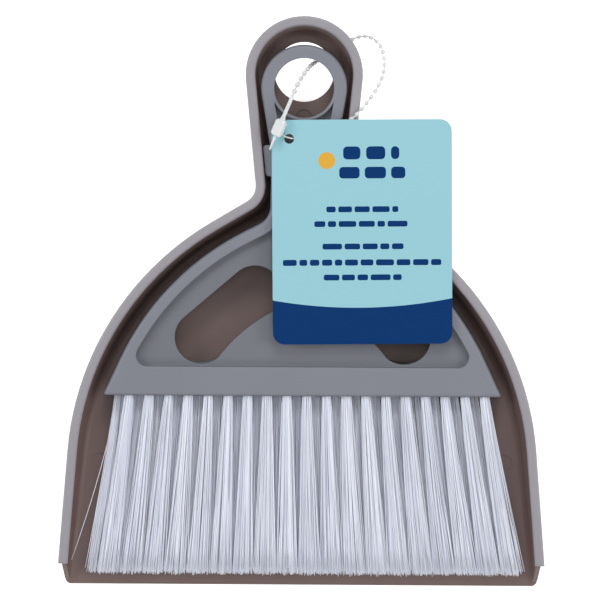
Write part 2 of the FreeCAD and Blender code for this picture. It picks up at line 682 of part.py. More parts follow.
def make_tag():
    """Printed card with rounded corners and a punched hole, drawn about its hole."""
    body = doc.addObject("PartDesign::Body", "TagBody")
    plane = next(f for f in body.Origin.OriginFeatures if f.Role == "XY_Plane")
    outline = body.newObject("Sketcher::SketchObject", "TagOutline")
    outline.AttachmentSupport = [(plane, "")]
    outline.MapMode = "FlatFace"
    left, top, corner = -TAG_LEFT, TAG_TOP, dim("tag_corner")
    right, bottom = left + dim("tag_width"), top - dim("tag_length")
    corners = [(x, y, corner) for x, y in ((left, bottom), (right, bottom), (right, top), (left, top))]
    outline.addGeometry(rounded_outline(corners), False)
    outline.addGeometry(Part.Circle(Vector(), Vector(0, 0, 1), dim("tag_hole_radius")), False)
    pad = body.newObject("PartDesign::Pad", "TagPad")
    pad.Profile = outline
    pad.Midplane = True
    pad.setExpression("Length", "Dimensions.tag_thickness")
    doc.recompute()
    body.Placement = TAG_FRAME
    return body


def in_lock(x, y, z, turn=Rotation()):
    return LOCK_FRAME * Placement(Vector(x, y, z), turn)


def make_lock():
    """Moulded head that locks the loop, with its collar, flat shaft and pointed tail."""
    length, width, height = dim("lock_length"), dim("lock_width"), dim("lock_height")
    head = box("LockHead", ("Dimensions.lock_length", "Dimensions.lock_width", "Dimensions.lock_height"),
               in_lock(-length / 2, -width / 2, -height / 2))
    doc.recompute()
    faceted = doc.addObject("Part::Chamfer", "LockFaceted")
    faceted.Base = head
    faceted.Edges = [(i, LOCK_FACET, LOCK_FACET) for i, edge in enumerate(head.Shape.Edges, start=1)
                     if abs(edge.Length - length) < TINY or abs(edge.Length - height) < TINY]
    lengthwise = Rotation(Vector(0, 1, 0), 90)
    collar = doc.addObject("Part::Cone", "LockCollar")
    collar.Radius1, collar.Radius2, collar.Height = *COLLAR_RADII, LOCK_COLLAR + LOCK_MERGE
    collar.Placement = in_lock(length / 2 - LOCK_MERGE, 0, 0, lengthwise)
    start = length / 2 + LOCK_COLLAR - LOCK_MERGE
    shaft = box("LockShaft", (LOCK_SHAFT + LOCK_MERGE, SHAFT_WIDTH, SHAFT_HEIGHT),
                in_lock(start, -SHAFT_WIDTH / 2, -SHAFT_HEIGHT / 2))
    tail = doc.addObject("Part::Cone", "LockTail")
    tail.Radius1, tail.Radius2, tail.Height = *TAIL_RADII, LOCK_TAIL + LOCK_MERGE
    tail.Placement = in_lock(-length / 2 - LOCK_TAIL, 0, 0, lengthwise)
    return fuse("LoopLock", [faceted, collar, shaft, tail])


def make_loop():
    """The loop's strand: straight runs joined by tangent arcs, each as large as its runs allow."""
    points = [Vector(*point) for point in LOOP_ROUTE]
    edges, radii, start = [], [], points[0]
    for before, point, after in zip(points, points[1:], points[2:]):
        back, ahead = (before - point), (after - point)
        reach = ARC_SHARE * min(back.Length, ahead.Length)
        half = back.getAngle(ahead) / 2
        back, ahead = back.normalize(), ahead.normalize()
        radius = reach * math.tan(half)
        radii.append(radius)
        middle = point + (back + ahead).normalize() * (radius / math.sin(half) - radius)
        arc = Part.Arc(point + back * reach, middle, point + ahead * reach)
        edges += [Part.LineSegment(start, arc.StartPoint).toShape(), arc.toShape()]
        start = arc.EndPoint
    edges.append(Part.LineSegment(start, points[-1]).toShape())
    path = Part.Wire(edges)
    heading = (points[1] - points[0]).normalize()
    circle = Part.Wire(Part.Circle(points[0], heading, dim("loop_diameter") / 2).toShape())
    tube = path.makePipeShell([circle], True, False)
    section = math.pi * dim("loop_diameter") ** 2 / 4
    ratio = tube.Volume / section / path.Length
    print(f"loop: length {path.Length:.1f}, volume over section times length {ratio:.4f}")
    print("loop: radii", [round(radius, 1) for radius in radii])
    loop = doc.addObject("Part::Feature", "TagLoop")
    loop.Shape = tube
    loop.Placement = Placement()
    return loop


finish_part("hang_tag", make_tag())
finish_part("loop_lock", make_lock())
finish_part("tag_loop", make_loop())

# ---------------------------------------------------------------- checks and files

doc.recompute()
for feature in doc.Objects:
    if "Invalid" in feature.State or "Error" in feature.State:
        raise RuntimeError(f"{feature.Name} did not build: {feature.State}")
for node, feature in parts.items():
    shape = feature.Shape
    if shape.isNull() or not shape.isValid() or not shape.Solids:
        raise RuntimeError(f"{node} has no valid solid")

os.makedirs("parts", exist_ok=True)
for node, feature in parts.items():
    feature.Shape.exportStep(f"parts/{node}.step")
print(len(parts), "parts written")
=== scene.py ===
"""Looks of the dustpan and brush: bristles, printed tag, beaded loop, plastics, light and camera.

Everything is in metres in the CAD model's frame: +Z up, +Y towards the handles, origin on the ground.
"""

import json
import math
import random

import bmesh
import bpy
import numpy
from mathutils import Matrix, Vector
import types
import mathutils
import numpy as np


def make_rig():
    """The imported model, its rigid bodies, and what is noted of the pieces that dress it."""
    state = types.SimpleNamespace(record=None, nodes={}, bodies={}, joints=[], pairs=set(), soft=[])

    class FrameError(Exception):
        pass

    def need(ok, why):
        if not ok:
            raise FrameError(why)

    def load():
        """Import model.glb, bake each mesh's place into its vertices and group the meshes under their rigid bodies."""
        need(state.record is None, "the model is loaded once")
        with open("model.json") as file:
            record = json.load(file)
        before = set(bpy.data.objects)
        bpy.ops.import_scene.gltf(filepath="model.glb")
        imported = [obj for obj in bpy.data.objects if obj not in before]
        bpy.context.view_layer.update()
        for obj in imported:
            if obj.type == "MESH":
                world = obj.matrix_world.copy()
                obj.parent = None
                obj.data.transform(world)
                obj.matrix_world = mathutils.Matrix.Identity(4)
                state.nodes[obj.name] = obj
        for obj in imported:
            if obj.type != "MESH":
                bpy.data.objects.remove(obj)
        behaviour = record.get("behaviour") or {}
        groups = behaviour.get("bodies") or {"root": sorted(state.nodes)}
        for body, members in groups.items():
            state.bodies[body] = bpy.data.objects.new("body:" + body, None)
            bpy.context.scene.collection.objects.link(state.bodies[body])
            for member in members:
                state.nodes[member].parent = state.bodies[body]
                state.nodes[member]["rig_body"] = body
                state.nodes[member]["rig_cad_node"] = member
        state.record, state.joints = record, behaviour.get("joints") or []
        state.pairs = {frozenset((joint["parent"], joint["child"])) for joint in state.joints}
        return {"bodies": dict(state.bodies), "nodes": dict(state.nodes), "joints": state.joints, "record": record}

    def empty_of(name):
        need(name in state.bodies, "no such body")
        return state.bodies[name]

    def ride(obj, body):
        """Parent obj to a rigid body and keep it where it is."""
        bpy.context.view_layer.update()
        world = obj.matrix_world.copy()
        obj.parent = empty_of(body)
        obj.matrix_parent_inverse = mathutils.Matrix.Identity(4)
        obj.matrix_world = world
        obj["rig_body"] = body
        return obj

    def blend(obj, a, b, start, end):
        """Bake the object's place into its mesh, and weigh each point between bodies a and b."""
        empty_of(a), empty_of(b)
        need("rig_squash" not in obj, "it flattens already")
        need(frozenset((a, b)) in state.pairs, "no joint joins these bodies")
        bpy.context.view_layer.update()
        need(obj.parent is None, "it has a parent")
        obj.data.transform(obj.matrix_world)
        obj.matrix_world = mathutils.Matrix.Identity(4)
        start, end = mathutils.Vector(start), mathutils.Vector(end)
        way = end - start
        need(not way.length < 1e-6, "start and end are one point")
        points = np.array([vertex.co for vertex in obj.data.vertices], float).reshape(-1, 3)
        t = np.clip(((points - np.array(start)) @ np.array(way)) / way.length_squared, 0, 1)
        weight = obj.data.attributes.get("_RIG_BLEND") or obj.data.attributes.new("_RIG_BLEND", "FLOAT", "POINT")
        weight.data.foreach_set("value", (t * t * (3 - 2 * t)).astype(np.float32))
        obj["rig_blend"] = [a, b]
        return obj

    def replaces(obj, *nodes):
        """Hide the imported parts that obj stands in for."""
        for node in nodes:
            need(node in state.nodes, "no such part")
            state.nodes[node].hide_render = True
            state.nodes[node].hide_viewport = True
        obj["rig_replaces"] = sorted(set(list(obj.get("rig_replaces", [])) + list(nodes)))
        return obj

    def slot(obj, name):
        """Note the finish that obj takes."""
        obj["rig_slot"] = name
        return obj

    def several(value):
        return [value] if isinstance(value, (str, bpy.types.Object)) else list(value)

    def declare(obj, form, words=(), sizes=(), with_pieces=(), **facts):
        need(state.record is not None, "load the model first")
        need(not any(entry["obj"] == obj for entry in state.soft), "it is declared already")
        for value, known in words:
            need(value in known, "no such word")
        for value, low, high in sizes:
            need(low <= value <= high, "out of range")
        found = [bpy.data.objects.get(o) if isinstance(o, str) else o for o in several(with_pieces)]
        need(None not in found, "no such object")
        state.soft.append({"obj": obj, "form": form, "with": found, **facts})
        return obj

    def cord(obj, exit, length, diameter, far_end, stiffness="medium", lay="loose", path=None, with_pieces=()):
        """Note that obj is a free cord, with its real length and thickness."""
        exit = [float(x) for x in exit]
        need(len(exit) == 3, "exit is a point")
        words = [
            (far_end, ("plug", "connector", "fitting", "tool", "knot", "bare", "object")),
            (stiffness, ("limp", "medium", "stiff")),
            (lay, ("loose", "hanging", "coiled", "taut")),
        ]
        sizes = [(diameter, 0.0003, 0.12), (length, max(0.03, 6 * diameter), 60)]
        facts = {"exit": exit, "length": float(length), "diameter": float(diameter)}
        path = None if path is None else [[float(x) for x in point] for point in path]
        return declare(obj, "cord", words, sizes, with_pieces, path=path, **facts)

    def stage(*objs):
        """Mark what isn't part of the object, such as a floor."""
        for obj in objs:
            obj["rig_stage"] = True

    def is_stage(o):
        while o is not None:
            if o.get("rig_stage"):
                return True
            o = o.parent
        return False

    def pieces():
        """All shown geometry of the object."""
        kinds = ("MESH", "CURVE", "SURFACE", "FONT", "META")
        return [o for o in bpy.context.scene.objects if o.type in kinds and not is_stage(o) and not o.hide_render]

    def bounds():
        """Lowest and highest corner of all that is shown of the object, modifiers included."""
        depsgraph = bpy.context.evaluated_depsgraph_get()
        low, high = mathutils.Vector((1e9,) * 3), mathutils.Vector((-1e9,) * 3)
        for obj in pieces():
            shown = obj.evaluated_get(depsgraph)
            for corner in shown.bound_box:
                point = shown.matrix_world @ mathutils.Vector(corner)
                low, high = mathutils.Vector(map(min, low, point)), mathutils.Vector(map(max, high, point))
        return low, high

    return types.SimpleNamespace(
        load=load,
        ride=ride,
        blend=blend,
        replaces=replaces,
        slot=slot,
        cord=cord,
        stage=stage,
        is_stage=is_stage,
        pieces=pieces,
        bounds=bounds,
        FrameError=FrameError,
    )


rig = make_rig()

MM = 0.001
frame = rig.load()
cad_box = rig.bounds()
scene = bpy.context.scene
nodes = frame["nodes"]

PLANE_TILT = math.radians(5.0)  # slope of the brush and of the pan's rim
ALONG = Vector((0, math.cos(PLANE_TILT), math.sin(PLANE_TILT)))  # from the bristles to the handle
UP = Vector((0, -math.sin(PLANE_TILT), math.cos(PLANE_TILT)))
RIGHT = Vector((1, 0, 0))
BRUSH_TOP = Vector((0, 1.35, 21.2)) * MM  # a point of the brush's top plane
WEB_LEVEL = BRUSH_TOP.dot(UP) - 2.6 * MM  # between the border's top and the recessed web
GOLDEN_ANGLE = math.pi * (3 - math.sqrt(5))


# ---------------------------------------------------------------- camera

VIEW_DISTANCE = 1.6
VIEW_WIDTH = 0.270  # width of the picture at the height of the brush's top
VIEW_PLANE = 0.028
VIEW_CENTRE = (-0.0013, 0.00135)
VIEW_ROLL = 0.35  # degrees
SENSOR = 36.0


def make_camera():
    camera = bpy.data.objects.new("camera", bpy.data.cameras.new("camera"))
    scene.collection.objects.link(camera)
    camera.location = (*VIEW_CENTRE, VIEW_DISTANCE)
    camera.rotation_euler = (0, 0, math.radians(VIEW_ROLL))
    camera.data.sensor_width = SENSOR
    camera.data.lens = SENSOR * (VIEW_DISTANCE - VIEW_PLANE) / VIEW_WIDTH
    camera.data.clip_end = 10.0
    scene.camera = camera


# ---------------------------------------------------------------- materials

BEVEL_SAMPLES = 6
CLOUD_SHARE, STREAK_SHARE = 0.65, 0.35  # of the flow marks in moulded plastic
WEB_SHADE_EDGE = 1500.0  # how steeply the painted shade sets in below the brush's border, per metre


class Shader:
    """A node material being built, with short ways to add and join nodes."""

    def __init__(self, name):
        self.material = bpy.data.materials.new(name)
        self.material.use_nodes = True
        self.tree = self.material.node_tree
        self.tree.nodes.clear()
        self.surface = self.add("ShaderNodeBsdfPrincipled")
        output = self.add("ShaderNodeOutputMaterial")
        self.join(self.surface.outputs["BSDF"], output.inputs["Surface"])
        self.place = self.add("ShaderNodeTexCoord").outputs["Object"]

    def add(self, kind, **settings):
        node = self.tree.nodes.new(kind)
        for key, value in settings.items():
            setattr(node, key, value)
        return node

    def join(self, output, socket):
        self.tree.links.new(output, socket)

    def feed(self, value, socket):
        if isinstance(value, bpy.types.NodeSocket):
            self.join(value, socket)
        else:
            socket.default_value = value

    def math(self, operation, first, second=0.0, clamp=False):
        node = self.add("ShaderNodeMath", operation=operation, use_clamp=clamp)
        self.feed(first, node.inputs[0])
        self.feed(second, node.inputs[1])
        return node.outputs[0]

    def noise(self, scale, detail=3.0, roughness=0.5, stretch=None):
        node = self.add("ShaderNodeTexNoise")
        node.inputs["Scale"].default_value = scale
        node.inputs["Detail"].default_value = detail
        node.inputs["Roughness"].default_value = roughness
        source = self.place
        if stretch:
            mapping = self.add("ShaderNodeMapping")
            mapping.inputs["Scale"].default_value = stretch
            self.join(source, mapping.inputs["Vector"])
            source = mapping.outputs[0]
        self.join(source, node.inputs["Vector"])
        return node.outputs["Fac"]

    def spread(self, value, low, high, start=0.3, end=0.7):
        """Map a noise value to a range of plain numbers."""
        node = self.add("ShaderNodeMapRange")
        self.feed(value, node.inputs["Value"])
        for name, number in (("From Min", start), ("From Max", end), ("To Min", low), ("To Max", high)):
            node.inputs[name].default_value = number
        return node.outputs["Result"]

    def mix(self, factor, first, second):
        node = self.add("ShaderNodeMix", data_type="RGBA")
        self.feed(factor, node.inputs["Factor"])
        self.feed(rgba(first), node.inputs["A"])
        self.feed(rgba(second), node.inputs["B"])
        return node.outputs["Result"]

    def bump(self, height, distance, strength=1.0, edge_radius=0.0):
        node = self.add("ShaderNodeBump")
        node.inputs["Strength"].default_value = strength
        node.inputs["Distance"].default_value = distance
        self.feed(height, node.inputs["Height"])
        if edge_radius:
            bevel = self.add("ShaderNodeBevel", samples=BEVEL_SAMPLES)
            bevel.inputs["Radius"].default_value = edge_radius
            self.join(bevel.outputs["Normal"], node.inputs["Normal"])
        self.join(node.outputs["Normal"], self.surface.inputs["Normal"])

    def set(self, **inputs):
        for name, value in inputs.items():
            self.feed(value, self.surface.inputs[name.replace("_", " ")])


def rgba(colour):
    return (*colour, 1.0) if isinstance(colour, tuple) and len(colour) == 3 else colour


def linear(red, green, blue):
    """A colour given as 0 to 255 sRGB."""
    def channel(value):
        value /= 255
        return value / 12.92 if value <= 0.04045 else ((value + 0.055) / 1.055) ** 2.4
    return (channel(red), channel(green), channel(blue))


def scaled(colour, factor):
    return tuple(min(1.0, channel * factor) for channel in colour)


def moulded_plastic(name, colour, roughness, grain=0.03, flow=0.06, edge_radius=0.0, recess_shade=1.0):
    """Satin moulded plastic: faint cloudy flow marks, fine grain, uneven gloss and softened edges.

    What lies below the brush's raised border is darkened by the last factor, as painted shade in the recessed web.
    """
    shader = Shader(name)
    cloud = shader.noise(18.0, detail=2.0)
    streaks = shader.noise(60.0, detail=4.0, stretch=(1.0, 0.25, 1.0))
    shade = shader.math("ADD", shader.math("MULTIPLY", cloud, CLOUD_SHARE),
                        shader.math("MULTIPLY", streaks, STREAK_SHARE))
    mottled = shader.mix(shader.spread(shade, 0.0, 1.0), scaled(colour, 1 - flow), scaled(colour, 1 + flow))
    # Painted shade: below the border's top the colour is darkened to stand in for the shading of the recessed web.
    if recess_shade < 1.0:
        height = shader.add("ShaderNodeVectorMath", operation="DOT_PRODUCT")
        shader.join(shader.place, height.inputs[0])
        height.inputs[1].default_value = UP
        over = shader.math("SUBTRACT", height.outputs["Value"], WEB_LEVEL)
        raised = shader.math("MULTIPLY", over, WEB_SHADE_EDGE, clamp=True)
        recess_shade_colour = shader.mix(shader.spread(shade, 0.0, 1.0), scaled(colour, recess_shade * (1 - flow)),
                          scaled(colour, recess_shade * (1 + flow)))
        mottled = shader.mix(raised, recess_shade_colour, mottled)
    shader.set(Base_Color=mottled)
    rub = shader.noise(45.0, detail=5.0, roughness=0.7)
    shader.set(Roughness=shader.spread(rub, roughness - 0.05, roughness + 0.07))
    shader.set(Specular_IOR_Level=0.45)
    fine = shader.noise(2600.0, detail=2.0)
    soft = shader.noise(320.0, detail=2.0)
    height = shader.math("ADD", shader.math("MULTIPLY", fine, 0.5), soft)
    shader.bump(height, grain * MM, 0.6, edge_radius)
    return shader.material


def bristle_material(name, colour, shade):
    """White filament with a bluish cast, each strand a little lighter or darker than the next."""
    shader = Shader(name)
    tone = shader.add("ShaderNodeAttribute", attribute_name="tone").outputs["Fac"]
    shader.set(Base_Color=shader.mix(tone, shade, colour))
    streak = shader.noise(900.0, detail=2.0, stretch=(1.0, 0.05, 1.0))
    shader.set(Roughness=shader.spread(streak, 0.34, 0.52))
    shader.set(Specular_IOR_Level=0.5)
    return shader.material


def clear_plastic(name, colour, roughness=0.18):
    """Translucent nylon with a faint cloudy haze."""
    shader = Shader(name)
    haze = shader.noise(700.0, detail=3.0)
    shader.set(Base_Color=shader.mix(haze, scaled(colour, 0.92), colour))
    shader.set(Roughness=shader.spread(haze, roughness - 0.05, roughness + 0.1))
    shader.set(IOR=1.5, Transmission_Weight=0.35)
    return shader.material


PAN_BROWN = linear(112, 93, 89)
RIM_GREY = linear(148, 144, 150)
BRUSH_GREY = linear(123, 125, 134)
TAG_TEAL = linear(147, 196, 206)
TAG_NAVY = linear(0, 50, 104)
TAG_GOLD = linear(216, 166, 62)
CARD_CORE = linear(228, 228, 225)


def paint_frame_nodes():
    """Give every CAD node that stays its finished material, and return the loop's."""
    pan = moulded_plastic("pan_plastic", PAN_BROWN, 0.42, edge_radius=0.5 * MM)
    rim = moulded_plastic("rim_plastic", RIM_GREY, 0.5, grain=0.02, flow=0.03)
    # The brush's recessed web takes painted shade at 0.8 of its colour.
    brush = moulded_plastic("brush_plastic", BRUSH_GREY, 0.44, grain=0.025, flow=0.03,
                            edge_radius=0.9 * MM, recess_shade=0.8)
    clear = clear_plastic("clear_plastic", (0.92, 0.94, 0.94))
    steel = Shader("anchor_steel")
    steel.set(Metallic=1.0, Base_Color=(0.55, 0.55, 0.56, 1.0))
    steel.set(Roughness=steel.spread(steel.noise(900.0), 0.25, 0.45))
    by_node = {"pan_tray": pan, "pan_rim": rim, "brush_body": brush, "loop_lock": clear}
    for name, node in nodes.items():
        material = by_node.get(name)
        if name.startswith("tuft_anchors"):
            material = steel.material
        if material:
            node.data.materials.clear()
            node.data.materials.append(material)
    return clear


# ---------------------------------------------------------------- meshes


def mesh_object(name, bm, material, smooth=True):
    mesh = bpy.data.meshes.new(name)
    bm.to_mesh(mesh)
    bm.free()
    mesh.polygons.foreach_set("use_smooth", [smooth] * len(mesh.polygons))
    mesh.materials.append(material)
    piece = bpy.data.objects.new(name, mesh)
    scene.collection.objects.link(piece)
    return piece


def add_tube(bm, points, radius, sides):
    """A closed tube of one radius through the points."""
    rings = []
    side_axis = None
    for i, point in enumerate(points):
        ahead = points[min(i + 1, len(points) - 1)] - points[max(i - 1, 0)]
        ahead.normalize()
        if side_axis is None:
            side_axis = ahead.orthogonal().normalized()
        side_axis = (side_axis - ahead * side_axis.dot(ahead)).normalized()
        other = ahead.cross(side_axis)
        ring = []
        for step in range(sides):
            angle = 2 * math.pi * step / sides
            place = point + (side_axis * math.cos(angle) + other * math.sin(angle)) * radius
            ring.append(bm.verts.new(place))
        rings.append(ring)
    for lower, upper in zip(rings, rings[1:]):
        for step in range(sides):
            following = (step + 1) % sides
            bm.faces.new((lower[step], lower[following], upper[following], upper[step]))
    bm.faces.new(list(reversed(rings[0])))
    bm.faces.new(rings[-1])


# ---------------------------------------------------------------- tag loop

LOOP_ROUTE = [
    (-5.24, 92.72, 34.4), (-3.8, 96.2, 34.1), (-2.2, 99.6, 33.2), (0.0, 103.1, 31.4), (2.0, 105.9, 28.2),
    (3.3, 107.5, 24.2), (4.6, 108.7, 20.2), (6.6, 110.2, 16.6), (9.8, 112.1, 14.0), (14.2, 114.5, 13.0),
    (18.7, 117.9, 13.6), (23.0, 120.6, 15.6), (27.8, 121.3, 18.4), (32.0, 119.4, 21.2), (34.9, 115.6, 23.8),
    (36.2, 110.1, 26.2), (36.1, 105.1, 28.2), (34.6, 100.1, 29.8), (32.0, 95.3, 30.8), (28.8, 90.8, 31.3),
    (25.3, 86.4, 31.2), (21.0, 82.4, 30.8), (14.8, 79.2, 30.1), (7.8, 76.7, 29.6), (0.8, 74.7, 29.6),
    (-5.3, 73.3, 30.4), (-9.4, 75.0, 33.4),
]
STRAND_DIAMETER = 1.2 * MM  # with the beads averaged in
THREAD_RADIUS = 0.36 * MM  # of the strand between its beads
BEAD_RADIUS = 1.02 * MM
BEAD_PITCH = 3.33 * MM
BEAD_STRETCH = 1.12  # length of a bead over its width
BEADED_FROM, BEADED_TO = 2.4 * MM, 12.0 * MM  # plain strand at the lock's shaft and at the other end
THREAD_SIDES = 10
FOLLOWS_PAN, FOLLOWS_BRUSH = 14.0 * MM, 30.0 * MM  # heights below and above which the loop follows each


def route_line(points):
    """Points read from the smooth NURBS line of a route, and its length."""
    curve = bpy.data.curves.new("route", "CURVE")
    curve.dimensions = "3D"
    spline = curve.splines.new("NURBS")
    spline.points.add(len(points) - 1)
    for control, point in zip(spline.points, points):
        control.co = (*(coordinate * MM for coordinate in point), 1.0)
    spline.order_u = 3
    spline.use_endpoint_u = True
    spline.resolution_u = 12
    holder = bpy.data.objects.new("route", curve)
    scene.collection.objects.link(holder)
    bpy.context.view_layer.update()
    mesh = bpy.data.meshes.new_from_object(holder.evaluated_get(bpy.context.evaluated_depsgraph_get()))
    line = [vertex.co.copy() for vertex in mesh.vertices]
    bpy.data.objects.remove(holder)
    bpy.data.curves.remove(curve)
    bpy.data.meshes.remove(mesh)
    length = sum((b - a).length for a, b in zip(line, line[1:]))
    return line, length


def walk(line, distances):
    """Place and heading at each distance along a line of points."""
    passed, index = 0.0, 0
    for distance in distances:
        while index < len(line) - 2 and passed + (line[index + 1] - line[index]).length < distance:
            passed += (line[index + 1] - line[index]).length
            index += 1
        run = line[index + 1] - line[index]
        yield line[index] + run.normalized() * (distance - passed), run.normalized()


def add_bead(bm, place, heading, radius):
    turn = heading.to_track_quat("Z", "Y").to_matrix().to_4x4()
    shape = Matrix.Diagonal((radius, radius, radius * BEAD_STRETCH, 1.0))
    placed = Matrix.Translation(place) @ turn @ shape
    bmesh.ops.create_uvsphere(bm, u_segments=14, v_segments=9, radius=1.0, matrix=placed)


def make_loop(material):
    line, length = route_line(LOOP_ROUTE)
    bm = bmesh.new()
    add_tube(bm, line, THREAD_RADIUS, THREAD_SIDES)
    count = int((length - BEADED_FROM - BEADED_TO) / BEAD_PITCH)
    for place, heading in walk(line, [BEADED_FROM + number * BEAD_PITCH for number in range(count + 1)]):
        add_bead(bm, place, heading, BEAD_RADIUS)
    loop = mesh_object("tag_loop_beaded", bm, material)
    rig.replaces(loop, "tag_loop")
    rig.slot(loop, "clear_plastic")
    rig.blend(loop, "pan", "brush", start=(0, 0, FOLLOWS_PAN), end=(0, 0, FOLLOWS_BRUSH))
    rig.cord(loop, exit=line[0], length=length, diameter=STRAND_DIAMETER, far_end="object",
            stiffness="stiff", lay="loose", path=line, with_pieces=["loop_lock"])


# ---------------------------------------------------------------- bristles

FILAMENTS = 92
FILAMENT_RADIUS = 0.18 * MM
FILAMENT_STEPS = 8
FILAMENT_SIDES = 4
FILAMENT_TAPER = 0.35  # how much thinner a filament ends
TAPER_FROM = 0.85  # share of a filament's length before it thins
LATE_SPREAD = 1.12  # above 1, the filaments spread later along their length
HOLE_DEPTH = 10.0 * MM
ROOT_DEPTH = 8.0 * MM  # how deep the filaments start in their hole
END_SLICE = 0.2 * MM  # points this close to a tuft's end belong to it
MOUTH_RADIUS = 1.85 * MM
TIP_HALF, TIP_RISE = 4.9 * MM, 1.45 * MM
STRAY_TIP = Vector((-0.1047, -0.1176, 0.0068))  # one filament of the outer tuft has bent away


def tuft_ends(node):
    """Where the tuft's filaments start inside the bar and where its tips are, from the CAD node's points."""
    points = [vertex.co.copy() for vertex in node.data.vertices]
    places = [point.dot(ALONG) for point in points]
    first, last = min(places), max(places)
    tips = [point for point, place in zip(points, places) if place < first + END_SLICE]
    roots = [point for point, place in zip(points, places) if place > last - END_SLICE]
    root = sum(roots, Vector()) / len(roots) - ALONG * (HOLE_DEPTH - ROOT_DEPTH)
    return root, sum(tips, Vector()) / len(tips)


def filament_line(start, end, bow):
    """Points of one filament, spreading late and bowed a little."""
    points = []
    for step in range(FILAMENT_STEPS + 1):
        share = step / FILAMENT_STEPS
        side, run = start.lerp(end, share ** LATE_SPREAD), start.lerp(end, share)
        points.append(Vector((side.x, run.y, run.z)) + bow * math.sin(math.pi * share))
    return points


def tuft_lines(start, tip, rng):
    """Lines of all filaments of a tuft, which leaves its hole round and fans out flat to ragged tips."""
    lines = []
    for number in range(FILAMENTS):
        radius = math.sqrt((number + 0.5) / FILAMENTS)
        angle = number * GOLDEN_ANGLE + rng.uniform(-0.2, 0.2)
        across, rise = radius * math.cos(angle), radius * math.sin(angle)
        root = start + (RIGHT * across + UP * rise) * MOUTH_RADIUS
        end = tip + RIGHT * (across + rng.gauss(0, 0.10)) * TIP_HALF
        end += UP * (rise * TIP_RISE + rng.gauss(0, 0.12) * MM)
        end -= ALONG * rng.triangular(-2.4, 1.5, 0.4) * MM
        bow = RIGHT * rng.gauss(0, 0.35) * MM + UP * rng.gauss(0, 0.25) * MM
        lines.append(filament_line(root, end, bow))
    return lines


def filament_mesh(name, lines, tones):
    """One mesh of four-sided filaments, each closed at its ends and carrying one tone."""
    centres = numpy.array([[tuple(point) for point in line] for line in lines])
    count, rings = centres.shape[:2]
    shares = numpy.linspace(0.0, 1.0, rings)
    thinned = numpy.clip((shares - TAPER_FROM) / (1.0 - TAPER_FROM), 0.0, 1.0)
    radii = FILAMENT_RADIUS * (1.0 - FILAMENT_TAPER * thinned)
    angles = numpy.arange(FILAMENT_SIDES) * 2 * math.pi / FILAMENT_SIDES
    spokes = numpy.outer(numpy.cos(angles), RIGHT) + numpy.outer(numpy.sin(angles), UP)
    places = centres[:, :, None, :] + radii[None, :, None, None] * spokes[None, None, :, :]
    around = [(side, (side + 1) % FILAMENT_SIDES) for side in range(FILAMENT_SIDES)]
    faces = []
    for first in range(0, count * rings * FILAMENT_SIDES, rings * FILAMENT_SIDES):
        last = first + (rings - 1) * FILAMENT_SIDES
        faces.append([first + side for side in range(FILAMENT_SIDES)])
        faces.append([last + side for side in reversed(range(FILAMENT_SIDES))])
        for base in range(first, last, FILAMENT_SIDES):
            above = base + FILAMENT_SIDES
            faces += [(base + b, base + a, above + a, above + b) for a, b in around]
    mesh = bpy.data.meshes.new(name)
    mesh.from_pydata(places.reshape(-1, 3).tolist(), [], faces)
    mesh.polygons.foreach_set("use_smooth", [True] * len(mesh.polygons))
    layer = mesh.attributes.new("tone", "FLOAT", "POINT")
    layer.data.foreach_set("value", numpy.repeat(tones, rings * FILAMENT_SIDES))
    return mesh


def make_bristles():
    rng = random.Random(7)
    material = bristle_material("bristle", linear(246, 248, 255), linear(218, 223, 240))
    for name in sorted(name for name in nodes if name.startswith(("tuft_front", "tuft_back"))):
        start, tip = tuft_ends(nodes[name])
        lines = tuft_lines(start, tip, rng)
        if name == "tuft_back_01":
            lines.append(filament_line(start, STRAY_TIP, RIGHT * 1.2 * MM))
        mesh = filament_mesh(name + "_bristles", lines, [rng.uniform(0.2, 1.0) for _ in lines])
        mesh.materials.append(material)
        tuft = bpy.data.objects.new(mesh.name, mesh)
        scene.collection.objects.link(tuft)
        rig.replaces(tuft, name)
        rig.slot(tuft, "bristle")
        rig.ride(tuft, "brush")


# ---------------------------------------------------------------- hang tag

TAG_HOLE = Vector((-6.6, 73.7, 31.3)) * MM
TAG_TILT, TAG_TURN = math.radians(6.0), math.radians(0.7)
TAG_WIDTH, TAG_LENGTH, TAG_THICKNESS, TAG_CORNER = 81.0 * MM, 101.5 * MM, 0.4 * MM, 5.4 * MM
TAG_LEFT, TAG_TOP = 7.9 * MM, 8.5 * MM
TAG_PUNCH = 2.2 * MM
TAG_TURNED = Matrix.Rotation(TAG_TILT, 4, "X") @ Matrix.Rotation(TAG_TURN, 4, "Z")
TAG_FRAME = Matrix.Translation(TAG_HOLE) @ TAG_TURNED


def rounded_rectangle(left, right, bottom, top, radius, steps=8):
    corners = [(right - radius, top - radius, 0), (left + radius, top - radius, 90),
               (left + radius, bottom + radius, 180), (right - radius, bottom + radius, 270)]
    points = []
    for x, y, start in corners:
        for step in range(steps + 1):
            angle = math.radians(start + 90 * step / steps)
            points.append((x + radius * math.cos(angle), y + radius * math.sin(angle)))
    return points


def plate(bm, outlines, low, high):
    """A flat plate between two heights from an outer outline and its holes."""
    rims = []
    for outline in outlines:
        rims.append([[bm.verts.new((x, y, z)) for x, y in outline] for z in (low, high)])
    for level, turned in ((0, True), (1, False)):
        edges = []
        for rim in rims:
            ring = rim[level]
            edges += [bm.edges.new((ring[i], ring[(i + 1) % len(ring)])) for i in range(len(ring))]
        filled = bmesh.ops.triangle_fill(bm, use_beauty=True, use_dissolve=False, edges=edges)
        for face in (item for item in filled["geom"] if isinstance(item, bmesh.types.BMFace)):
            face.normal_update()
            if (face.normal.z > 0) == turned:
                face.normal_flip()
    for bottom, top in rims:
        for i in range(len(bottom)):
            following = (i + 1) % len(bottom)
            bm.faces.new((bottom[i], bottom[following], top[following], top[i]))
    bmesh.ops.recalc_face_normals(bm, faces=bm.faces)


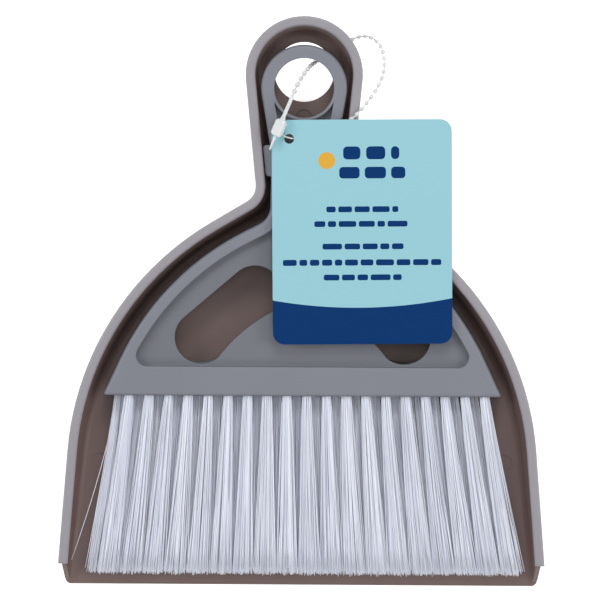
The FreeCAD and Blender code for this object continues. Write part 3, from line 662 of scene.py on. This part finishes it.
SHARP = 8000.0  # how steeply a printed edge changes colour, per metre
PRINTED_DISC = (16.8, -9.9, 3.85)  # middle and radius, in millimetres from the punched hole
PRINTED_LINES = [
    # left, right, bottom, top and longest dash, in millimetres from the punched hole
    (24.2, 49.4, -9.4, -3.6, 12.0), (22.4, 52.1, -18.0, -12.8, 14.0),
    (16.5, 48.9, -33.2, -30.6, 9.0), (11.1, 53.0, -39.8, -37.2, 9.0), (14.7, 51.2, -50.0, -47.4, 9.0),
    (-3.2, 68.2, -57.3, -54.6, 9.0), (15.2, 50.3, -64.0, -61.4, 9.0),
]
INK_HEIGHT = 0.02 * MM
DASH_GAP, DASH_ROUNDING = 0.45, 0.3  # over the height of a dash
SHORTEST_DASH, LEAST_LEFT = 0.35, 0.3  # over the longest dash of its line
NAVY_MIDDLE, NAVY_LEVEL = 33.0 * MM, -76.5 * MM  # middle of the navy foot's edge, from the hole
NAVY_SAG = 3.8 * MM  # how far that edge curves up towards the sides of the tag
NAVY_FALL = 0.009  # slope of that edge


def make_print(material):
    """Rows of plain rounded dashes of uneven length, in place of lettering."""
    rng = random.Random(11)
    low = TAG_THICKNESS / 2
    bm = bmesh.new()
    for left, right, bottom, top, longest in PRINTED_LINES:
        gap = DASH_GAP * (top - bottom)
        start = left
        while start < right:
            width = rng.uniform(SHORTEST_DASH, 1.0) * longest
            end = right if start + width + gap > right - LEAST_LEFT * longest else start + width
            shape = (start * MM, end * MM, bottom * MM, top * MM, DASH_ROUNDING * (top - bottom) * MM)
            plate(bm, [rounded_rectangle(*shape, steps=3)], low, low + INK_HEIGHT)
            start = end + gap
    ink = mesh_object("tag_print", bm, material, smooth=False)
    ink.data.transform(TAG_FRAME)
    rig.slot(ink, "tag_card")
    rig.ride(ink, "tag")


def ink_material():
    shader = Shader("tag_ink")
    grain = shader.noise(1500.0, detail=2.0)
    shader.set(Base_Color=shader.mix(grain, scaled(TAG_NAVY, 0.95), scaled(TAG_NAVY, 1.05)))
    shader.set(Roughness=shader.spread(shader.noise(90.0), 0.45, 0.55), Specular_IOR_Level=0.1)
    return shader.material


def tag_material():
    """Coated card: light teal with a gold disc and a navy foot whose edge sags, on a white core."""
    shader = Shader("tag_print")
    place = shader.add("ShaderNodeAttribute", attribute_name="sheet").outputs["Vector"]
    split = shader.add("ShaderNodeSeparateXYZ")
    shader.join(place, split.inputs[0])
    x, y, z = split.outputs
    away = shader.math("SUBTRACT", x, NAVY_MIDDLE)
    bowed = shader.math("MULTIPLY", shader.math("MULTIPLY", away, away), NAVY_SAG / (TAG_WIDTH / 2) ** 2)
    edge = shader.math("ADD", shader.math("ADD", bowed, NAVY_LEVEL), shader.math("MULTIPLY", away, NAVY_FALL))
    above = shader.math("MULTIPLY", shader.math("SUBTRACT", y, edge), SHARP, clamp=True)
    print_grain = shader.noise(1500.0, detail=2.0)
    teal = shader.mix(print_grain, scaled(TAG_TEAL, 0.985), scaled(TAG_TEAL, 1.015))
    navy = shader.mix(print_grain, scaled(TAG_NAVY, 0.95), scaled(TAG_NAVY, 1.05))
    disc_x, disc_y, disc_radius = (value * MM for value in PRINTED_DISC)
    across, along = shader.math("SUBTRACT", x, disc_x), shader.math("SUBTRACT", y, disc_y)
    reach = shader.math("SQRT", shader.math("ADD", shader.math("MULTIPLY", across, across),
                                            shader.math("MULTIPLY", along, along)))
    disc = shader.math("MULTIPLY", shader.math("SUBTRACT", disc_radius, reach), SHARP, clamp=True)
    front = shader.mix(above, navy, shader.mix(disc, teal, TAG_GOLD))
    top = shader.math("MULTIPLY", shader.math("SUBTRACT", z, 0.45 * TAG_THICKNESS), 1e5, clamp=True)
    shader.set(Base_Color=shader.mix(top, CARD_CORE, front))
    shader.set(Roughness=shader.spread(shader.noise(90.0), 0.45, 0.55), Specular_IOR_Level=0.1)
    shader.bump(shader.noise(500.0), 0.008 * MM, 0.4)
    return shader.material


def sheet_coordinates(mesh):
    """Remember each point's place on the flat tag, for the print."""
    layer = mesh.attributes.new("sheet", "FLOAT_VECTOR", "POINT")
    for vertex, stored in zip(mesh.vertices, layer.data):
        stored.vector = vertex.co


def make_tag():
    left, right = -TAG_LEFT, TAG_WIDTH - TAG_LEFT
    bottom, top = TAG_TOP - TAG_LENGTH, TAG_TOP
    outline = rounded_rectangle(left, right, bottom, top, TAG_CORNER)
    punch = [(TAG_PUNCH * math.cos(a), TAG_PUNCH * math.sin(a))
             for a in (2 * math.pi * i / 32 for i in range(32))]
    bm = bmesh.new()
    plate(bm, [outline, punch], -TAG_THICKNESS / 2, TAG_THICKNESS / 2)
    tag = mesh_object("hang_tag_card", bm, tag_material(), smooth=False)
    sheet_coordinates(tag.data)
    tag.data.transform(TAG_FRAME)
    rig.replaces(tag, "hang_tag")
    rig.slot(tag, "tag_card")
    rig.ride(tag, "tag")
    make_print(ink_material())


# ---------------------------------------------------------------- floor and light


def make_stage():
    bm = bmesh.new()
    bmesh.ops.create_grid(bm, x_segments=1, y_segments=1, size=3.0)
    shader = Shader("floor")
    shader.set(Base_Color=(0.9, 0.9, 0.9, 1.0), Roughness=0.9, Specular_IOR_Level=0.1)
    shader.set(Emission_Color=(1.0, 1.0, 1.0, 1.0), Emission_Strength=0.6)
    floor = mesh_object("floor", bm, shader.material, smooth=False)
    floor.location.z = -0.0002
    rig.stage(floor)

    world = bpy.data.worlds.new("studio")
    scene.world = world
    world.use_nodes = True
    world.node_tree.nodes["Background"].inputs["Color"].default_value = (0.97, 0.98, 1.0, 1.0)
    world.node_tree.nodes["Background"].inputs["Strength"].default_value = 0.44

    add_light("left_box", (-1.2, 0.25, 1.0), 0.7, 7.5)
    add_light("right_box", (1.2, 0.0, 1.0), 0.7, 6.5)
    add_light("far_box", (0.1, 1.2, 1.3), 0.7, 9.0)
    add_light("near_box", (0.0, -1.2, 1.2), 0.7, 3.5)
    add_light("top_box", (0.0, 0.15, 2.2), 0.8, 2.5)


def add_light(name, place, size, power):
    light = bpy.data.objects.new(name, bpy.data.lights.new(name, "AREA"))
    light.data.shape = "DISK"
    light.data.size = size
    light.data.energy = power
    light.location = place
    light.rotation_euler = (-Vector(place)).to_track_quat("-Z", "Y").to_euler()
    scene.collection.objects.link(light)


make_camera()
clear = paint_frame_nodes()
make_loop(clear)
make_bristles()
make_tag()
make_stage()
scene.view_settings.view_transform = "Standard"

size_box = {"cad": [list(corner) for corner in cad_box], "visual": [list(corner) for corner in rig.bounds()]}
json.dump(size_box, open("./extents.json", "w"))
